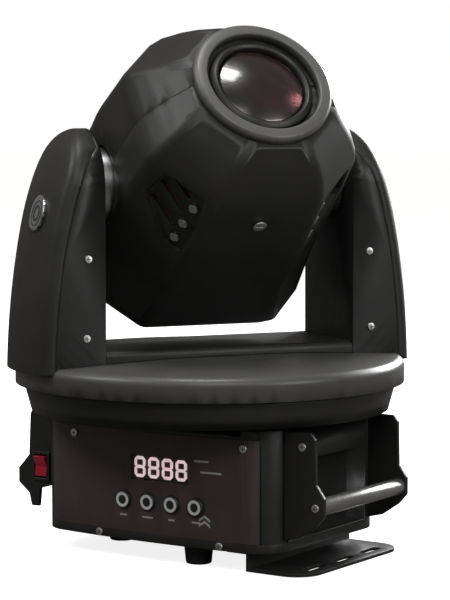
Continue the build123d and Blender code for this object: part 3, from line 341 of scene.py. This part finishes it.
def islands(node):
    """The middle and the corners of each separate solid in a CAD node."""
    build = bmesh.new()
    build.from_mesh(NODES[node].data)
    bmesh.ops.remove_doubles(build, verts=build.verts, dist=WELD_GAP)
    left = set(build.verts)
    found = []
    while left:
        group = {left.pop()}
        edge_of_group = list(group)
        while edge_of_group:
            vertex = edge_of_group.pop()
            for edge in vertex.link_edges:
                other = edge.other_vert(vertex)
                if other in left:
                    left.remove(other)
                    group.add(other)
                    edge_of_group.append(other)
        low = Vector([min(v.co[axis] for v in group) for axis in range(3)])
        high = Vector([max(v.co[axis] for v in group) for axis in range(3)])
        found.append(((low + high) / 2, [v.co.copy() for v in group]))
    build.free()
    return sorted(found, key=lambda item: tuple(round(value, 5) for value in item[0]))


def middle(node):
    """The middle of a CAD node's box."""
    low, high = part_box(node)
    return (Vector(low) + Vector(high)) / 2


SURFACES = {}
FRONT = Vector((0, -1, 0))

# the four lit digits stand just behind the display's window
window_low, window_high = (Vector(corner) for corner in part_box("display_window"))
digit_y = (window_high.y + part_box("display_module")[0][1]) / 2
window_middle = (window_low + window_high) / 2
DIGIT_PITCH = 15.6 * MM
DIGIT_W = 9.6 * MM
DIGIT_H = 16.5 * MM
STROKE = 3.2 * MM


def segment(length, upright, x, y):
    """One bar of a digit, with pointed ends."""
    half = length / 2
    side = STROKE / 2 * 0.94
    points = [(-half, 0), (-half + side, -side), (half - side, -side), (half, 0), (half - side, side),
              (-half + side, side)]
    if upright:
        points = [(-py, px) for px, py in points]
    return [(x + px, y + py) for px, py in points]


PRINT_THICK = 0.25 * MM
MARK_THICK = 0.2 * MM
SUNK = -0.4 * MM                   # how far printed and raised marks start below the surface
digits = bmesh.new()
for number in range(4):
    centre = window_middle + Vector(((number - 1.5) * DIGIT_PITCH, 0, 0))
    place = facing((centre.x, digit_y, centre.z), FRONT, up)
    for y in (-DIGIT_H / 2, 0, DIGIT_H / 2):
        add_prism(digits, place, segment(DIGIT_W, False, 0, y), PRINT_THICK)
    for x in (-DIGIT_W / 2, DIGIT_W / 2):
        for y in (-DIGIT_H / 4, DIGIT_H / 4):
            add_prism(digits, place, segment(DIGIT_H / 2, True, x, y), PRINT_THICK)
to_object("display_digits", digits, DIGITS, "base")

# a white ring on each key and plain printed marks round the keys and the display
BUTTONS = ["menu_button_1", "menu_button_2", "menu_button_3", "menu_button_4"]
KEY_RING_INNER = 4.3 * MM
KEY_RING_OUTER = 7.0 * MM
for node in BUTTONS:
    low, high = (Vector(corner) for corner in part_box(node))
    place = facing(((low.x + high.x) / 2, low.y, (low.z + high.z) / 2), FRONT, up)
    ring = bmesh.new()
    add_ring(ring, place, KEY_RING_INNER, KEY_RING_OUTER, PRINT_THICK, -0.3 * MM)
    to_object(node + "_ring", ring, PRINT_WHITE, node)

KEY_BAR_WIDTHS = (8, 12, 7, 9)
KEY_BAR_DROP = 14.5 * MM
CHEVRON = [(-6, -2.5), (0, 1.5), (6, -2.5), (6, -0.3), (0, 3.9), (-6, -0.3)]
CHEVRON_RIGHT = 9 * MM
DISPLAY_BARS = ((15, 11, 15), (25, 1, 22))      # right of the window, above its middle, and width


def panel_mark(build, x, y, z, outline):
    """A thin printed mark on the front panel."""
    add_prism(build, on_surface("front_panel", (x, y, z), FRONT), outline, MARK_THICK, SUNK)


marks = bmesh.new()
for node, width in zip(BUTTONS, KEY_BAR_WIDTHS):
    centre = middle(node)
    panel_mark(marks, centre.x, centre.y, centre.z - KEY_BAR_DROP, bar(width * MM, 1.5 * MM))
last_key = middle(BUTTONS[-1])
chevron = [(x * MM, y * MM) for x, y in CHEVRON]
for drop in (10.5, 15.5):
    panel_mark(marks, last_key.x + CHEVRON_RIGHT, last_key.y, last_key.z - drop * MM, chevron)
for right, above, width in DISPLAY_BARS:
    panel_mark(marks, window_high.x + right * MM, window_low.y, window_middle.z + above * MM,
               bar(width * MM, 1.8 * MM))
to_object("panel_marks", marks, PRINT_GREY, "base")

# dark crosses on the screw heads, painted shade standing in for their cross recesses
CROSS_REACH = 1.9
CROSS_HALF = 0.35
QUARTER = [(CROSS_HALF, CROSS_HALF), (CROSS_HALF, CROSS_REACH), (-CROSS_HALF, CROSS_REACH)]
CROSS = []
for turn in range(4):
    for x, y in QUARTER:
        for step in range(turn):
            x, y = -y, x
        CROSS.append((x * MM, y * MM))
for node, across, body in (("panel_screws", -FRONT, "base"), ("arm_screws", up.cross(yoke_x), "yoke")):
    crosses = bmesh.new()
    for centre, corners in islands(node):
        outward = across if centre.dot(across) > 0 else -across
        add_prism(crosses, on_surface(node, centre, outward), CROSS, 0.06 * MM, -0.3 * MM)
    to_object(node + "_crosses", crosses, PAINTED_SHADE_AND_DARK_RINGS, body)

# a paler rounded pad at the lower end of each vent slot
PAD_SPOTS = [(14, -25), (15, -4), (17, 19)]
PAD_HALF = 4.0 * MM
PAD_CORNER = PAD_HALF * 0.6
PAD_TURN = math.radians(-30)
PAD_OUTLINE = [(-PAD_HALF, -PAD_CORNER), (-PAD_CORNER, -PAD_HALF), (PAD_CORNER, -PAD_HALF),
               (PAD_HALF, -PAD_CORNER), (PAD_HALF, PAD_CORNER), (PAD_CORNER, PAD_HALF),
               (-PAD_CORNER, PAD_HALF), (-PAD_HALF, PAD_CORNER)]
FACET_LEAN = 0.108                 # how far the vent facets lean toward the front of the head
pads = bmesh.new()
head_turn = head_frame.to_3x3()
for centre, corners in islands("vent_grilles"):
    hand = 1 if centre.dot(yoke_x) > 0 else -1
    outward = (head_turn @ Vector((hand, -1, FACET_LEAN))).normalized()
    across = (head_turn @ Vector((-hand, -1, 0))).normalized()
    forward = (beam - outward * beam.dot(outward)).normalized()
    reaches = [[corner.dot(axis) for corner in corners] for axis in (across, forward, outward)]
    mid_across, mid_forward, mid_out = ((min(reach) + max(reach)) / 2 for reach in reaches)
    centre = across * mid_across + forward * mid_forward + outward * mid_out
    for right, ahead in PAD_SPOTS:
        spot = centre + across * right * MM + forward * ahead * MM
        place = on_surface("vent_grilles", spot, outward, forward)
        turned = place @ Matrix.Rotation(PAD_TURN * hand, 4, "Z")
        add_prism(pads, turned, PAD_OUTLINE, 0.8 * MM, -0.5 * MM)
to_object("vent_pads", pads, PAD_GREY, "head", edge=0.3 * MM)

# two raised rings on each arm's round badge
BADGE_RINGS = ((11.0 * MM, 12.4 * MM), (5.0 * MM, 8.0 * MM))
badge = bmesh.new()
for centre, corners in islands("arm_badges"):
    outward = yoke_x if centre.dot(yoke_x) > 0 else -yoke_x
    badge_place = on_surface("arm_badges", centre, outward)
    for inner, outer in BADGE_RINGS:
        add_ring(badge, badge_place, inner, outer, PRINT_THICK, SUNK)
to_object("badge_rings", badge, PAINTED_SHADE_AND_DARK_RINGS, "yoke")


# ---------------------------------------------------------------- floor, light and camera
def plane_mesh(name, size, z):
    """A square sheet at a height."""
    mesh = bpy.data.meshes.new(name)
    build = bmesh.new()
    bmesh.ops.create_grid(build, x_segments=1, y_segments=1, size=size)
    bmesh.ops.translate(build, verts=build.verts, vec=(0, 0, z))
    build.to_mesh(mesh)
    build.free()
    obj = bpy.data.objects.new(name, mesh)
    bpy.context.scene.collection.objects.link(obj)
    return obj


def camera_mix(nodes, links, seen, lit):
    """One shader for what the camera sees directly and another for the light it gives."""
    path = nodes.new("ShaderNodeLightPath")
    mix = nodes.new("ShaderNodeMixShader")
    links.new(path.outputs["Is Camera Ray"], mix.inputs["Fac"])
    links.new(lit, mix.inputs[1])
    links.new(seen, mix.inputs[2])
    return mix.outputs["Shader"]


floor = plane_mesh("floor", 12.0, -0.0005)
floor_material = coated("floor_pale", (0.88, 0.88, 0.88), (0.92, 0.92, 0.92), (0.55, 0.65), 300, 0.00002)
floor_nodes = floor_material.node_tree.nodes
floor_links = floor_material.node_tree.links
floor_main = floor_nodes["Principled BSDF"]
floor_main.inputs["Emission Color"].default_value = (1, 1, 1, 1)
floor_main.inputs["Emission Strength"].default_value = 0.85
matt = floor_nodes.new("ShaderNodeBsdfDiffuse")
matt.inputs["Color"].default_value = (0.10, 0.097, 0.094, 1)
ground = camera_mix(floor_nodes, floor_links, floor_main.outputs["BSDF"], matt.outputs["BSDF"])
floor_links.new(ground, floor_nodes["Material Output"].inputs["Surface"])
floor.data.materials.append(floor_material)


def area_light(name, place, target, size, power):
    """A soft rectangular lamp aimed at a point."""
    light = bpy.data.lights.new(name, "AREA")
    light.shape = "RECTANGLE"
    light.size, light.size_y = size
    light.energy = power
    obj = bpy.data.objects.new(name, light)
    obj.location = place
    obj.rotation_euler = (Vector(target) - Vector(place)).to_track_quat("-Z", "Y").to_euler()
    bpy.context.scene.collection.objects.link(obj)


area_light("key", (-1.2, -1.3, 1.9), (0, 0, 0.25), (0.9, 0.9), 17)
area_light("front", (1.2, -1.5, 1.5), (0, 0, 0.2), (0.9, 0.7), 9)
area_light("top", (0.05, -0.25, 2.4), (0, 0, 0.3), (0.7, 0.5), 18)
area_light("right", (2.1, -0.2, 0.9), (0, 0, 0.3), (0.8, 0.8), 11)
area_light("back", (0.1, 2.2, 1.0), (0, 0, 0.2), (1.6, 0.7), 70)

world = bpy.data.worlds.new("studio")
world.use_nodes = True
world_nodes = world.node_tree.nodes
world_links = world.node_tree.links
backdrop = world_nodes["Background"]
backdrop.inputs["Color"].default_value = (1, 1, 1, 1)
backdrop.inputs["Strength"].default_value = 1.0
ambient = world_nodes.new("ShaderNodeBackground")
ambient.inputs["Color"].default_value = (1.0, 0.97, 0.94, 1)
ambient.inputs["Strength"].default_value = 0.16
sky = camera_mix(world_nodes, world_links, backdrop.outputs["Background"], ambient.outputs["Background"])
world_links.new(sky, world_nodes["World Output"].inputs["Surface"])
bpy.context.scene.world = world

camera_data = bpy.data.cameras.new("camera")
camera_data.sensor_width = 36.0
camera_data.sensor_fit = "AUTO"
camera_data.lens = 142.4
camera = bpy.data.objects.new("camera", camera_data)
camera.location = (1.289, -1.873, 0.440)
camera.rotation_euler = (math.radians(90 - 5.07), 0, math.radians(34.17))
bpy.context.scene.collection.objects.link(camera)
bpy.context.scene.camera = camera
bpy.context.scene.view_settings.view_transform = "Standard"
